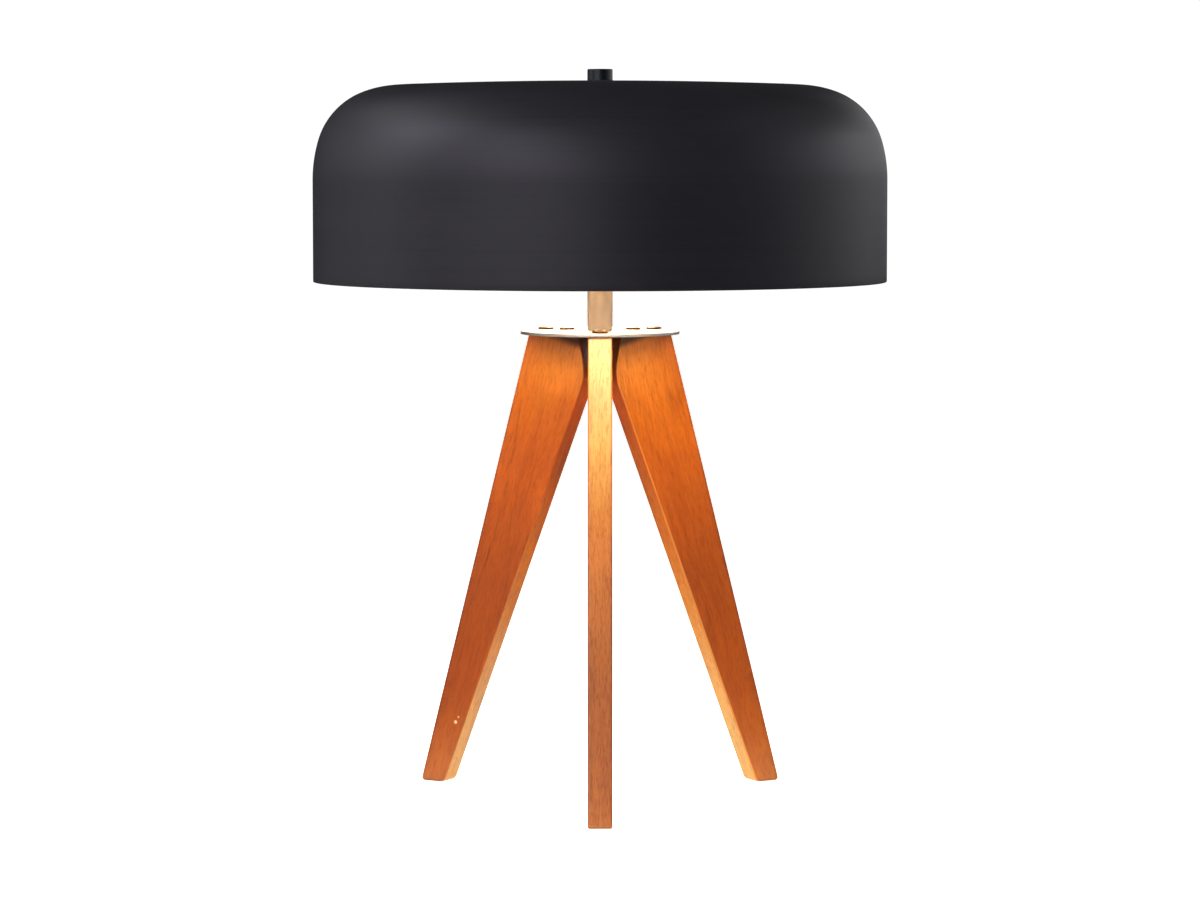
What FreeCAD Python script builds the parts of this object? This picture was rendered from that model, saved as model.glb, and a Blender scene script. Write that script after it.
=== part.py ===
import FreeCAD, Part
import Sketcher
import math
import os

# Tripod table lamp, millimetres. +Z is up, the floor is z = 0, and the origin
# is on the lamp's axis at floor level. The front leg points to -Y.

V = FreeCAD.Vector
doc = FreeCAD.newDocument("tripod_table_lamp")
sheet = doc.addObject("Spreadsheet::Sheet", "Dims")


class Size:
    """A length with its value and the way it is worked out from the sheet."""

    def __init__(self, text, value):
        self.text = text
        self.value = float(value)

    @staticmethod
    def of(other):
        if isinstance(other, Size):
            return other
        return Size("%.9g" % other if other >= 0 else "(%.9g)" % other, other)

    def __add__(self, other):
        other = Size.of(other)
        return Size("(%s + %s)" % (self.text, other.text), self.value + other.value)

    def __radd__(self, other):
        return Size.of(other) + self

    def __sub__(self, other):
        other = Size.of(other)
        return Size("(%s - %s)" % (self.text, other.text), self.value - other.value)

    def __rsub__(self, other):
        return Size.of(other) - self

    def __mul__(self, other):
        other = Size.of(other)
        return Size("(%s * %s)" % (self.text, other.text), self.value * other.value)

    def __rmul__(self, other):
        return Size.of(other) * self

    def __truediv__(self, other):
        other = Size.of(other)
        return Size("(%s / %s)" % (self.text, other.text), self.value / other.value)

    def __neg__(self):
        return Size("(-1 * %s)" % self.text, -self.value)


row = [1]


def dim(alias, value, note):
    n = row[0]
    row[0] += 1
    sheet.set("A%d" % n, note)
    sheet.set("B%d" % n, "%.6g" % value)
    sheet.setAlias("B%d" % n, alias)
    return Size("Dims." + alias, value)


# ---- driving dimensions -------------------------------------------------
board_thick = dim("board_thick", 18.0, "leg board thickness")
leg_top_z = dim("leg_top_z", 351.5, "top of the legs, underside of the plate")
foot_outer = dim("foot_outer", 156.3, "outer edge of the foot, from the axis")
foot_inner = dim("foot_inner", 135.2, "inner edge of the foot, from the axis")
top_outer = dim("top_outer", 57.5, "outer edge of the leg at its top")
top_inner = dim("top_inner", 14.2, "inner edge of the leg at its top")
kink_inner = dim("kink_inner", 7.9, "inner edge of the leg at its kink")
kink_z = dim("kink_z", 320.0, "height of the kink")
leg_ease = dim("leg_ease", 1.5, "easing of the leg's long edges")
kink_round = dim("kink_round", 35.0, "rounding of the leg's kink")
foot_round = dim("foot_round", 5.5, "rounding of the foot's inner corner")
toe_round = dim("toe_round", 2.5, "rounding of the foot's outer corner")

plate_rad = dim("plate_rad", 60.0, "plate radius")
plate_thick = dim("plate_thick", 2.5, "plate thickness")
screw_near = dim("screw_near", 29.0, "inner screw of each leg, from the axis")
screw_far = dim("screw_far", 47.5, "outer screw of each leg, from the axis")
screw_rad = dim("screw_rad", 2.1, "wood screw shank radius")
screw_long = dim("screw_long", 28.0, "wood screw length under its head")
head_rad = dim("head_rad", 6.0, "screw head radius")
head_high = dim("head_high", 2.4, "screw head height")

stem_rad = dim("stem_rad", 9.525, "stem tube outer radius")
stem_wall = dim("stem_wall", 1.2, "stem tube wall")
pipe_rad = dim("pipe_rad", 5.0, "threaded lamp pipe outer radius")
pipe_bore = dim("pipe_bore", 3.7, "threaded lamp pipe bore radius")
pipe_low_z = dim("pipe_low_z", 333.0, "lower end of the lamp pipe")
nut_flats = dim("nut_flats", 14.0, "pipe nut across its flats")
nut_thick = dim("nut_thick", 4.0, "pipe nut thickness")
bushing_rad = dim("bushing_rad", 7.0, "cord bushing outer radius")
bushing_bore = dim("bushing_bore", 3.3, "cord bushing bore radius")

cluster_z = dim("cluster_z", 446.0, "underside of the cluster body")
cluster_rad = dim("cluster_rad", 21.0, "cluster body outer radius")
cluster_wall = dim("cluster_wall", 1.5, "cluster body wall")
cluster_high = dim("cluster_high", 30.0, "cluster body height")
axis_z = dim("axis_z", 461.0, "height of the lampholders' axis")
boss_rad = dim("boss_rad", 8.0, "radius of the cluster's side bosses")
boss_out = dim("boss_out", 23.0, "boss face, from the lamp's axis")

holder_rad = dim("holder_rad", 16.0, "lampholder shell outer radius")
cap_rad = dim("cap_rad", 16.9, "lampholder cap outer radius")
knob_out = dim("knob_out", 50.0, "switch knob axis, from the lamp's axis")
knob_rad = dim("knob_rad", 5.5, "switch knob radius")
screw_shell_in = dim("screw_shell_in", 13.2, "screw shell crest radius")
bulb_cap_rad = dim("bulb_cap_rad", 13.0, "bulb cap crest radius")
pitch = dim("pitch", 3.63, "bulb thread pitch")
bulb_rad = dim("bulb_rad", 30.0, "bulb glass radius")
bulb_flare = dim("bulb_flare", 70.0, "radius of the bulb's concave neck")
bulb_neck = dim("bulb_neck", 12.55, "bulb neck radius")
glass_wall = dim("glass_wall", 0.8, "bulb glass wall")
lead_rad = dim("lead_rad", 1.0, "lead radius over its insulation")

shade_rad = dim("shade_rad", 216.0, "shade outer radius")
shade_wall = dim("shade_wall", 1.2, "shade wall")
rim_z = dim("rim_z", 391.1, "shade rim height")
land_z = dim("land_z", 541.5, "shade's flat land round its hole, outside")
land_rad = dim("land_rad", 24.0, "radius of the land")
side_arc = dim("side_arc", 105.1, "shoulder arc next to the wall")
corner_arc = dim("corner_arc", 55.5, "shoulder arc in the middle")
crown_arc = dim("crown_arc", 79.4, "shoulder arc next to the top")
dome_arc = dim("dome_arc", 3922.8, "radius of the nearly flat top")
low_join_z = dim("low_join_z", 497.4, "height where side and corner arcs meet")
top_join_r = dim("top_join_r", 178.5, "radius where corner and crown arcs meet")
hem_high = dim("hem_high", 5.0, "height of the folded hem inside the rim")
shade_hole = dim("shade_hole", 5.3, "radius of the shade's centre hole")
seat_rad = dim("seat_rad", 20.0, "shade seat radius")
finial_rad = dim("finial_rad", 9.525, "finial radius")
finial_top_z = dim("finial_top_z", 550.6, "top of the finial")
doc.recompute()

plate_top_z = leg_top_z + plate_thick
cap_z = cluster_z + cluster_high          # underside of the cluster cap
cap_top_z = cap_z + 2.0
shade_in_z = land_z - shade_wall          # land, inside
washer_z = shade_in_z - 0.9               # top of the shade seat
seat_z = washer_z - 2.5                   # top of the spacer tube
finial_z = land_z + 0.7                   # underside of the finial

parts = []          # the objects that are written out, in order


# ---- helpers -------------------------------------------------------------
def plane(body, role):
    for o in body.Origin.OriginFeatures:
        if o.Role == role:
            return o
    raise RuntimeError(role)


def new_body(label, keep=True):
    body = doc.addObject("PartDesign::Body", label)
    body.Label = label
    if keep:
        parts.append(body)
    return body


def new_sketch(body, name, role, lift=None):
    sk = body.newObject("Sketcher::SketchObject", body.Label + "_" + name)
    sk.AttachmentSupport = [(plane(body, role), "")]
    sk.MapMode = "FlatFace"
    if lift is not None:
        lift = Size.of(lift)
        sk.AttachmentOffset = FreeCAD.Placement(V(0, 0, lift.value), FreeCAD.Rotation())
        sk.setExpression("AttachmentOffset.Base.z", lift.text)
    return sk


def bind(sk, index, size):
    size = Size.of(size)
    if "Dims." in size.text:
        sk.setExpression("Constraints[%d]" % index, size.text)


def pin_x(sk, geo, pos, x):
    x = Size.of(x)
    if x.value == 0.0:
        sk.addConstraint(Sketcher.Constraint("PointOnObject", geo, pos, -2))
    else:
        k = sk.addConstraint(Sketcher.Constraint("DistanceX", -1, 1, geo, pos, x.value))
        bind(sk, k, x)


def pin_y(sk, geo, pos, y):
    y = Size.of(y)
    if y.value == 0.0:
        sk.addConstraint(Sketcher.Constraint("PointOnObject", geo, pos, -1))
    else:
        k = sk.addConstraint(Sketcher.Constraint("DistanceY", -1, 1, geo, pos, y.value))
        bind(sk, k, y)


def polygon(sk, corners):
    """A closed outline of straight lines through the given corners."""
    pts = [(Size.of(x), Size.of(y)) for x, y in corners]
    n = len(pts)
    first = sk.GeometryCount
    for i in range(n):
        a, b = pts[i], pts[(i + 1) % n]
        sk.addGeometry(
            Part.LineSegment(V(a[0].value, a[1].value, 0), V(b[0].value, b[1].value, 0)),
            False,
        )
    for i in range(n):
        sk.addConstraint(
            Sketcher.Constraint("Coincident", first + i, 2, first + (i + 1) % n, 1)
        )
    for i in range(n):
        pin_x(sk, first + i, 1, pts[i][0])
        pin_y(sk, first + i, 1, pts[i][1])


def circle(sk, x, y, r):
    x, y, r = Size.of(x), Size.of(y), Size.of(r)
    g = sk.addGeometry(Part.Circle(V(x.value, y.value, 0), V(0, 0, 1), r.value), False)
    k = sk.addConstraint(Sketcher.Constraint("Radius", g, r.value))
    bind(sk, k, r)
    pin_x(sk, g, 3, x)
    pin_y(sk, g, 3, y)


def hexagon(sk, flats, x=0.0, y=0.0):
    half = flats / math.sqrt(3.0)
    polygon(
        sk,
        [
            (x + half * math.cos(math.radians(60 * k)), y + half * math.sin(math.radians(60 * k)))
            for k in range(6)
        ],
    )


def arc_between(sk, centre, radius, a0, a1):
    """An arc from angle a0 to angle a1, counter-clockwise, in radians."""
    return sk.addGeometry(
        Part.ArcOfCircle(Part.Circle(V(centre[0], centre[1], 0), V(0, 0, 1), radius), a0, a1),
        False,
    )


def turned(body, name, draw, cut=False):
    """Turns an outline drawn on the XZ plane about the body's Z axis."""
    sk = new_sketch(body, name + "_outline", "XZ_Plane")
    draw(sk)
    kind = "PartDesign::Groove" if cut else "PartDesign::Revolution"
    f = body.newObject(kind, body.Label + "_" + name)
    f.Profile = sk
    f.ReferenceAxis = (sk, ["V_Axis"])
    f.Angle = 360
    sk.Visibility = False
    return f


def turned_part(label, corners, keep=True):
    body = new_body(label, keep)
    turned(body, "turn", lambda sk: polygon(sk, corners))
    return body


def pad(body, name, sk, length, both=False):
    length = Size.of(length)
    f = body.newObject("PartDesign::Pad", body.Label + "_" + name)
    f.Profile = sk
    f.Length = length.value
    if "Dims." in length.text:
        f.setExpression("Length", length.text)
    if both:
        f.SideType = "Symmetric"
    return f


def pocket(body, name, sk, length, both=False, flip=False):
    length = Size.of(length)
    f = body.newObject("PartDesign::Pocket", body.Label + "_" + name)
    f.Profile = sk
    f.Length = length.value
    if "Dims." in length.text:
        f.setExpression("Length", length.text)
    if both:
        f.SideType = "Symmetric"
    f.Reversed = flip
    return f


def removed(body, before, what):
    """Stops if a cut took nothing away."""
    doc.recompute()
    if not body.Shape.Volume < before - 1e-3:
        raise RuntimeError("%s: %s cut nothing" % (body.Label, what))


def edges_where(feature, test):
    found = []
    for i, e in enumerate(feature.Shape.Edges):
        if test(e):
            found.append("Edge%d" % (i + 1))
    return found


def ease(body, name, test, radius, kind="PartDesign::Fillet"):
    doc.recompute()
    base = body.Tip
    names = edges_where(base, test)
    if not names:
        raise RuntimeError(body.Label + ": no edge to ease")
    f = body.newObject(kind, body.Label + "_" + name)
    f.Base = (base, names)
    radius = Size.of(radius)
    if kind == "PartDesign::Fillet":
        f.Radius = radius.value
        if "Dims." in radius.text:
            f.setExpression("Radius", radius.text)
    else:
        f.Size = radius.value
    body.Tip = f
    doc.recompute()
    return f


def place(obj, x=0.0, y=0.0, z=0.0, turns=()):
    rot = FreeCAD.Rotation()
    for axis, deg in turns:          # applied in the order given
        rot = FreeCAD.Rotation(axis, deg).multiply(rot)
    x, y, z = Size.of(x), Size.of(y), Size.of(z)
    obj.Placement = FreeCAD.Placement(V(x.value, y.value, z.value), rot)
    for key, size in (("x", x), ("y", y), ("z", z)):
        if "Dims." in size.text:
            obj.setExpression("Placement.Base." + key, size.text)
    return obj


def group(label, master, spots):
    """The same piece at several spots, as one node of separate solids."""
    links = []
    for i, spot in enumerate(spots):
        link = doc.addObject("App::Link", "%s_at_%d" % (label, i + 1))
        link.LinkedObject = master
        place(link, *spot)
        links.append(link)
    g = doc.addObject("Part::Compound", label)
    g.Label = label
    g.Links = links
    parts.append(g)
    return g


X, Y, Z = V(1, 0, 0), V(0, 1, 0), V(0, 0, 1)
# The lampholders' own frames: local z runs out along the holder's axis.
FRONT = [(X, 90.0)]                 # out to -Y
BACK = [(X, 90.0), (Z, 180.0)]      # out to +Y


def is_circle_at(edge, z, r=None, tol=0.02):
    c = edge.Curve
    if not isinstance(c, Part.Circle):
        return False
    if abs(c.Center.z - z) > tol:
        return False
    return r is None or abs(c.Radius - r) < tol


# ---- legs ----------------------------------------------------------------
# A leg is one board on edge in a plane through the lamp's axis. Its outer
# edge is straight, its inner edge leans in to a rounded kink near the top and
# then a little out again, and its foot is cut level.
def make_leg(label, azimuth):
    body = new_body(label)
    sk = new_sketch(body, "side", "XZ_Plane")
    polygon(
        sk,
        [
            (foot_inner, 0.0),
            (foot_outer, 0.0),
            (top_outer, leg_top_z),
            (top_inner, leg_top_z),
            (kink_inner, kink_z),
        ],
    )
    pad(body, "board", sk, board_thick, both=True)

    def corner(x, z):
        def test(e):
            b = e.BoundBox
            return (
                b.YLength > board_thick.value - 0.5
                and abs(b.Center.x - x) < 0.5
                and abs(b.Center.z - z) < 0.5
            )
        return test

    ease(body, "inner_corner", corner(foot_inner.value, 0), foot_round)
    ease(body, "outer_corner", corner(foot_outer.value, 0), toe_round)
    ease(body, "kink_corner", corner(kink_inner.value, kink_z.value), kink_round)
    before = body.Shape.Volume
    ease(
        body,
        "long_edges",
        lambda e: e.BoundBox.YLength < 0.1 and e.BoundBox.ZMax > 0.05,
        leg_ease,
    )
    if not body.Shape.Volume < before:
        raise RuntimeError("the leg's edges were not eased")
    before = body.Shape.Volume
    sk = new_sketch(body, "pilots", "XY_Plane", leg_top_z)
    circle(sk, screw_near, 0.0, screw_rad + 0.02)
    circle(sk, screw_far, 0.0, screw_rad + 0.02)
    pocket(body, "pilot_holes", sk, screw_long)
    removed(body, before, "pilot holes")
    place(body, turns=[(Z, azimuth)])
    return body


make_leg("leg_front", -90.0)
make_leg("leg_left", 150.0)
make_leg("leg_right", 30.0)

# ---- plate ---------------------------------------------------------------
plate = new_body("top_plate")
sk = new_sketch(plate, "disc", "XY_Plane", leg_top_z)
circle(sk, 0.0, 0.0, plate_rad)
pad(plate, "disc_pad", sk, plate_thick)
ease(
    plate,
    "rim",
    lambda e: isinstance(e.Curve, Part.Circle) and e.Curve.Radius > plate_rad.value - 0.1,
    0.5,
)
before = plate.Shape.Volume
sk = new_sketch(plate, "pipe_hole_outline", "XY_Plane", plate_top_z)
circle(sk, 0.0, 0.0, pipe_rad + 0.1)
pocket(plate, "pipe_hole", sk, plate_thick + 1.0)
removed(plate, before, "pipe hole")
before = plate.Shape.Volume
sk = new_sketch(plate, "screw_hole_outline", "XY_Plane", plate_top_z)
circle(sk, 0.0, -screw_near, screw_rad + 0.3)
circle(sk, 0.0, -screw_far, screw_rad + 0.3)
holes = pocket(plate, "screw_holes", sk, plate_thick + 1.0)
doc.recompute()
pattern = plate.newObject("PartDesign::PolarPattern", "top_plate_screw_pattern")
pattern.Originals = [holes]
pattern.Axis = (sk, ["N_Axis"])
pattern.Angle = 360
pattern.Occurrences = 3
plate.Tip = pattern
removed(plate, before, "screw holes")

# ---- leg screws: domed heads with a cross recess -------------------------
screw = new_body("leg_screw_master", keep=False)
rise = 0.9
turned(
    screw,
    "turn",
    lambda sk: polygon(
        sk,
        [
            (0.0, head_high),
            (head_rad * 0.30, head_high - 0.04),
            (head_rad * 0.55, head_high - 0.25),
            (head_rad * 0.76, head_high - 0.65),
            (head_rad * 0.91, head_high - 1.25),
            (head_rad, head_high - 2.05),
            (head_rad, 0.0),
            (screw_rad, 0.0),
            (screw_rad, -screw_long + 5.5),
            (0.0, -screw_long + 0.5),
        ],
    ),
)
doc.recompute()
before = screw.Shape.Volume
sk = new_sketch(screw, "recess_outline", "XY_Plane", head_high + 0.1)
arm, half = 2.9, 0.55
polygon(
    sk,
    [
        (arm, -half), (arm, half), (half, half), (half, arm), (-half, arm), (-half, half),
        (-arm, half), (-arm, -half), (-half, -half), (-half, -arm), (half, -arm), (half, -half),
    ],
)
pocket(screw, "recess", sk, 1.7)
removed(screw, before, "cross recess")
# Each recess stands at the angle its screw happened to stop at.
spots = []
for k, azimuth in enumerate((-90.0, 30.0, 150.0)):
    c, s = math.cos(math.radians(azimuth)), math.sin(math.radians(azimuth))
    for j, r in enumerate((screw_near, screw_far)):
        stop = (17.0, 52.0, 71.0, 8.0, 36.0, 64.0)[2 * k + j]
        spots.append((r * c, r * s, plate_top_z, [(Z, stop)]))
group("leg_screws", screw, spots)

# ---- stem, lamp pipe and what clamps them ---------------------------------
stem_in = stem_rad - stem_wall
turned_part(
    "stem_tube",
    [
        (stem_in, plate_top_z),
        (stem_rad - 0.3, plate_top_z),
        (stem_rad, plate_top_z + 0.3),
        (stem_rad, cluster_z - 0.3),
        (stem_rad - 0.3, cluster_z),
        (stem_in, cluster_z),
    ],
)
floor_z = cluster_z + 2.0
turned_part(
    "lamp_pipe",
    [
        (pipe_bore, pipe_low_z),
        (pipe_rad, pipe_low_z),
        (pipe_rad, floor_z + 6.0),
        (pipe_bore, floor_z + 6.0),
    ],
)

washer = new_body("lock_washer")
sk = new_sketch(washer, "ring", "XY_Plane", leg_top_z - 1.0)
circle(sk, 0.0, 0.0, 9.0)
circle(sk, 0.0, 0.0, pipe_rad + 0.1)
pad(washer, "ring_pad", sk, 1.0)
doc.recompute()
before = washer.Shape.Volume
sk = new_sketch(washer, "tooth_gap_outline", "XY_Plane", leg_top_z)
polygon(sk, [(7.4, -0.75), (9.6, -1.15), (9.6, 1.15), (7.4, 0.75)])
gap = pocket(washer, "tooth_gap", sk, 2.0)
doc.recompute()
pattern = washer.newObject("PartDesign::PolarPattern", "lock_washer_teeth")
pattern.Originals = [gap]
pattern.Axis = (sk, ["N_Axis"])
pattern.Angle = 360
pattern.Occurrences = 12
washer.Tip = pattern
removed(washer, before, "tooth gaps")


def make_nut(label, z, thick, keep=True):
    body = new_body(label, keep)
    sk = new_sketch(body, "hex", "XY_Plane", z)
    hexagon(sk, nut_flats)
    circle(sk, 0.0, 0.0, pipe_rad + 0.02)
    pad(body, "hex_pad", sk, thick)
    half = nut_flats.value / math.sqrt(3.0)
    top = Size.of(z).value + Size.of(thick).value
    before_z = (Size.of(z).value, top)
    # the corners of both faces are turned off at 30 degrees
    doc.recompute()
    before = body.Shape.Volume
    rise_in = (half + 0.6 - nut_flats.value / 2.0) * math.tan(math.radians(30))
    for tag, face_z, sign in (("low", before_z[0], 1.0), ("high", before_z[1], -1.0)):
        turned(
            body,
            "turned_off_" + tag,
            lambda sk, face_z=face_z, sign=sign: polygon(
                sk,
                [
                    (nut_flats.value / 2.0 - 0.05, face_z - sign * 0.2),
                    (half + 0.6, face_z - sign * 0.2),
                    (half + 0.6, face_z + sign * rise_in),
                    (nut_flats.value / 2.0 - 0.05, face_z),
                ],
            ),
            cut=True,
        )
    removed(body, before, "nut corners")
    return body


make_nut("pipe_nut", leg_top_z - 1.0 - nut_thick, nut_thick)
make_nut("cluster_nut", floor_z, nut_thick)

bushing = turned_part(
    "cord_bushing",
    [
        (bushing_bore, pipe_low_z - 6.0),
        (bushing_rad - 0.8, pipe_low_z - 6.0),
        (bushing_rad, pipe_low_z - 5.2),
        (bushing_rad, pipe_low_z + 5.2),
        (bushing_rad - 0.8, pipe_low_z + 6.0),
        (pipe_rad + 0.02, pipe_low_z + 6.0),
        (pipe_rad + 0.02, pipe_low_z),
        (bushing_bore, pipe_low_z),
    ],
)
ease(
    bushing,
    "mouth",
    lambda e: is_circle_at(e, pipe_low_z.value - 6.0, bushing_bore.value),
    1.0,
)

# ---- cluster body: a cast cup with two side bosses -------------------------
cluster = new_body("cluster_body")
turned(
    cluster,
    "cup",
    lambda sk: polygon(
        sk,
        [
            (0.0, cluster_z),
            (cluster_rad - 2.5, cluster_z),
            (cluster_rad, cluster_z + 2.5),
            (cluster_rad, cap_z),
            (0.0, cap_z),
        ],
    ),
)
sk = new_sketch(cluster, "boss_outline", "XZ_Plane")
circle(sk, 0.0, axis_z, boss_rad)
pad(cluster, "bosses", sk, boss_out * 2.0, both=True)
doc.recompute()
before = cluster.Shape.Volume
sk = new_sketch(cluster, "inside_outline", "XY_Plane", cap_z)
circle(sk, 0.0, 0.0, cluster_rad - cluster_wall)
pocket(cluster, "inside", sk, cluster_high - 2.0)
removed(cluster, before, "inside")
before = cluster.Shape.Volume
sk = new_sketch(cluster, "floor_hole_outline", "XY_Plane", cap_z)
circle(sk, 0.0, 0.0, pipe_rad + 0.05)
pocket(cluster, "floor_hole", sk, cluster_high + 1.0)
removed(cluster, before, "floor hole")
before = cluster.Shape.Volume
sk = new_sketch(cluster, "side_bore_outline", "XZ_Plane")
circle(sk, 0.0, axis_z, pipe_rad)
pocket(cluster, "side_bores", sk, boss_out * 2.0 + 2.0, both=True)
removed(cluster, before, "side bores")
before = cluster.Shape.Volume
sk = new_sketch(cluster, "cap_screw_outline", "YZ_Plane")
circle(sk, 0.0, cap_z - 3.5, 1.6)
pocket(cluster, "cap_screw_holes", sk, cluster_rad * 2.0 + 2.0, both=True)
removed(cluster, before, "cap screw holes")

lip_out = cluster_rad - cluster_wall - 0.1
lid = new_body("cluster_cap")
turned(
    lid,
    "lid",
    lambda sk: polygon(
        sk,
        [
            (pipe_rad + 0.05, cap_z),
            (lip_out - 1.5, cap_z),
            (lip_out - 1.5, cap_z - 6.5),
            (lip_out, cap_z - 6.5),
            (lip_out, cap_z),
            (cluster_rad, cap_z),
            (cluster_rad, cap_z + 0.8),
            (cluster_rad - 1.2, cap_top_z),
            (pipe_rad + 0.05, cap_top_z),
        ],
    ),
)
doc.recompute()
before = lid.Shape.Volume
sk = new_sketch(lid, "cap_screw_outline", "YZ_Plane")
circle(sk, 0.0, cap_z - 3.5, 1.5)
pocket(lid, "cap_screw_holes", sk, cluster_rad * 2.0 + 2.0, both=True)
removed(lid, before, "cap screw holes")

cap_screw = turned_part(
    "cap_screw_master",
    [
        (0.0, -3.9), (1.5, -3.9), (1.5, 0.0), (2.75, 0.0), (2.75, 1.0),
        (2.2, 1.6), (1.2, 1.8), (0.0, 1.85),
    ],
    keep=False,
)
sk = new_sketch(cap_screw, "slot_outline", "XY_Plane", 2.0)
polygon(sk, [(-3.0, -0.35), (3.0, -0.35), (3.0, 0.35), (-3.0, 0.35)])
doc.recompute()
before = cap_screw.Shape.Volume
pocket(cap_screw, "slot", sk, 1.1)
removed(cap_screw, before, "slot")
group(
    "cap_screws",
    cap_screw,
    [
        (cluster_rad, 0.0, cap_z - 3.5, [(Y, 90.0)]),
        (-cluster_rad, 0.0, cap_z - 3.5, [(Y, -90.0)]),
    ],
)

# ---- upper pipe, its nuts, the spacer tube and the shade's seat ------------
turned_part(
    "upper_pipe",
    [
        (pipe_bore, cap_z - 6.0),
        (pipe_rad, cap_z - 6.0),
        (pipe_rad, land_z + 5.0),
        (pipe_rad - 0.5, land_z + 5.5),
        (pipe_bore, land_z + 5.5),
    ],
)
cap_nut = make_nut("cap_nut_master", 0.0, nut_thick, keep=False)
group("cap_nuts", cap_nut, [(0.0, 0.0, cap_z - nut_thick, []), (0.0, 0.0, cap_top_z, [])])
turned_part(
    "spacer_tube",
    [
        (pipe_rad + 0.3, cap_top_z + nut_thick),
        (6.5, cap_top_z + nut_thick),
        (6.5, seat_z),
        (pipe_rad + 0.3, seat_z),
    ],
)
turned_part(
    "shade_seat",
    [
        (pipe_rad + 0.1, seat_z),
        (9.0, seat_z),
        (seat_rad, washer_z - 1.1),
        (seat_rad, washer_z - 0.3),
        (seat_rad - 0.3, washer_z),
        (pipe_rad + 0.1, washer_z),
    ],
)
turned_part(
    "seat_washer",
    [
        (pipe_rad + 0.1, washer_z),
        (seat_rad - 2.0, washer_z),
        (seat_rad - 2.0, shade_in_z),
        (pipe_rad + 0.1, shade_in_z),
    ],
)


# ---- shade -----------------------------------------------------------------
# One spun shell: an upright wall, a shoulder of three tangent arcs, a nearly
# flat top, and a small flat land round the centre hole.
def shade_outline(sk, wall_r, arcs, flat_r, flat_z, low_z, top_r, bottom_z):
    ra, rb, rc, rd = arcs
    W, A, B, C, D = wall_r.value, ra.value, rb.value, rc.value, rd.value
    dz = flat_z.value - math.sqrt(D * D - flat_r.value ** 2)
    phi = 0.29
    for _ in range(200):
        bx = W - A + (A - B) * math.cos(phi)
        tb = math.asin((top_r.value - bx) / B)
        tc = math.asin((bx - (C - B) * math.sin(tb)) / (D - C))
        bz = dz + (D - C) * math.cos(tc) + (C - B) * math.cos(tb)
        phi = math.asin((low_z.value - bz) / B)
    az = bz - (A - B) * math.sin(phi)
    cx, cz = (D - C) * math.sin(tc), dz + (D - C) * math.cos(tc)
    td = math.asin(flat_r.value / D)
    q = math.pi / 2
    side = arc_between(sk, (W - A, az), A, 0.0, phi)
    corner = arc_between(sk, (bx, bz), B, phi, q - tb)
    crown = arc_between(sk, (cx, cz), C, q - tb, q - tc)
    dome = arc_between(sk, (0.0, dz), D, q - tc, q - td)

    def line(p, r):
        return sk.addGeometry(Part.LineSegment(V(p[0], p[1], 0), V(r[0], r[1], 0)), False)

    fz = flat_z.value
    land = line((flat_r.value, fz), (0.0, fz))
    axis = line((0.0, fz), (0.0, bottom_z.value))
    floor = line((0.0, bottom_z.value), (W, bottom_z.value))
    wall = line((W, bottom_z.value), (W, az))
    add = sk.addConstraint
    C_ = Sketcher.Constraint
    add(C_("Tangent", wall, 2, side, 1))
    add(C_("Tangent", side, 2, corner, 1))
    add(C_("Tangent", corner, 2, crown, 1))
    add(C_("Tangent", crown, 2, dome, 1))
    add(C_("Coincident", dome, 2, land, 1))
    add(C_("Coincident", land, 2, axis, 1))
    add(C_("Coincident", axis, 2, floor, 1))
    add(C_("Coincident", floor, 2, wall, 1))
    add(C_("Horizontal", land))
    add(C_("Vertical", wall))
    add(C_("Horizontal", floor))
    add(C_("PointOnObject", axis, 1, -2))
    add(C_("PointOnObject", axis, 2, -2))
    add(C_("PointOnObject", dome, 3, -2))
    for g, r in ((side, ra), (corner, rb), (crown, rc), (dome, rd)):
        bind(sk, add(C_("Radius", g, r.value)), r)
    pin_x(sk, dome, 2, flat_r)
    pin_y(sk, dome, 2, flat_z)
    pin_x(sk, wall, 1, wall_r)
    pin_y(sk, wall, 1, bottom_z)
    pin_y(sk, side, 2, low_z)
    pin_x(sk, corner, 2, top_r)


shade = new_body("shade")
turned(
    shade,
    "outside",
    lambda sk: shade_outline(
        sk, shade_rad, (side_arc, corner_arc, crown_arc, dome_arc),
        land_rad, land_z, low_join_z, top_join_r, rim_z,
    ),
)
doc.recompute()
before = shade.Shape.Volume
turned(
    shade,
    "inside",
    lambda sk: shade_outline(
        sk, shade_rad - shade_wall,
        (side_arc - shade_wall, corner_arc - shade_wall, crown_arc - shade_wall, dome_arc - shade_wall),
        land_rad, land_z - shade_wall, low_join_z - shade_wall * 0.285,
        top_join_r - shade_wall * 0.361, rim_z - 1.0,
    ),
    cut=True,
)
removed(shade, before, "inside")
before = shade.Shape.Volume
sk = new_sketch(shade, "hole_outline", "XY_Plane", land_z + 0.5)
circle(sk, 0.0, 0.0, shade_hole)
pocket(shade, "hole", sk, shade_wall + 1.0)
removed(shade, before, "hole")
hem_in = shade_rad - shade_wall * 2.0
turned(
    shade,
    "hem",
    lambda sk: polygon(
        sk,
        [
            (hem_in, rim_z),
            (shade_rad - shade_wall * 0.5, rim_z),
            (shade_rad - shade_wall * 0.5, rim_z + hem_high),
            (shade_rad - shade_wall - 0.3, rim_z + hem_high),
            (hem_in, rim_z + hem_high - 0.8),
        ],
    ),
)
ease(
    shade,
    "rim",
    lambda e: is_circle_at(e, rim_z.value),
    0.8,
)

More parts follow.
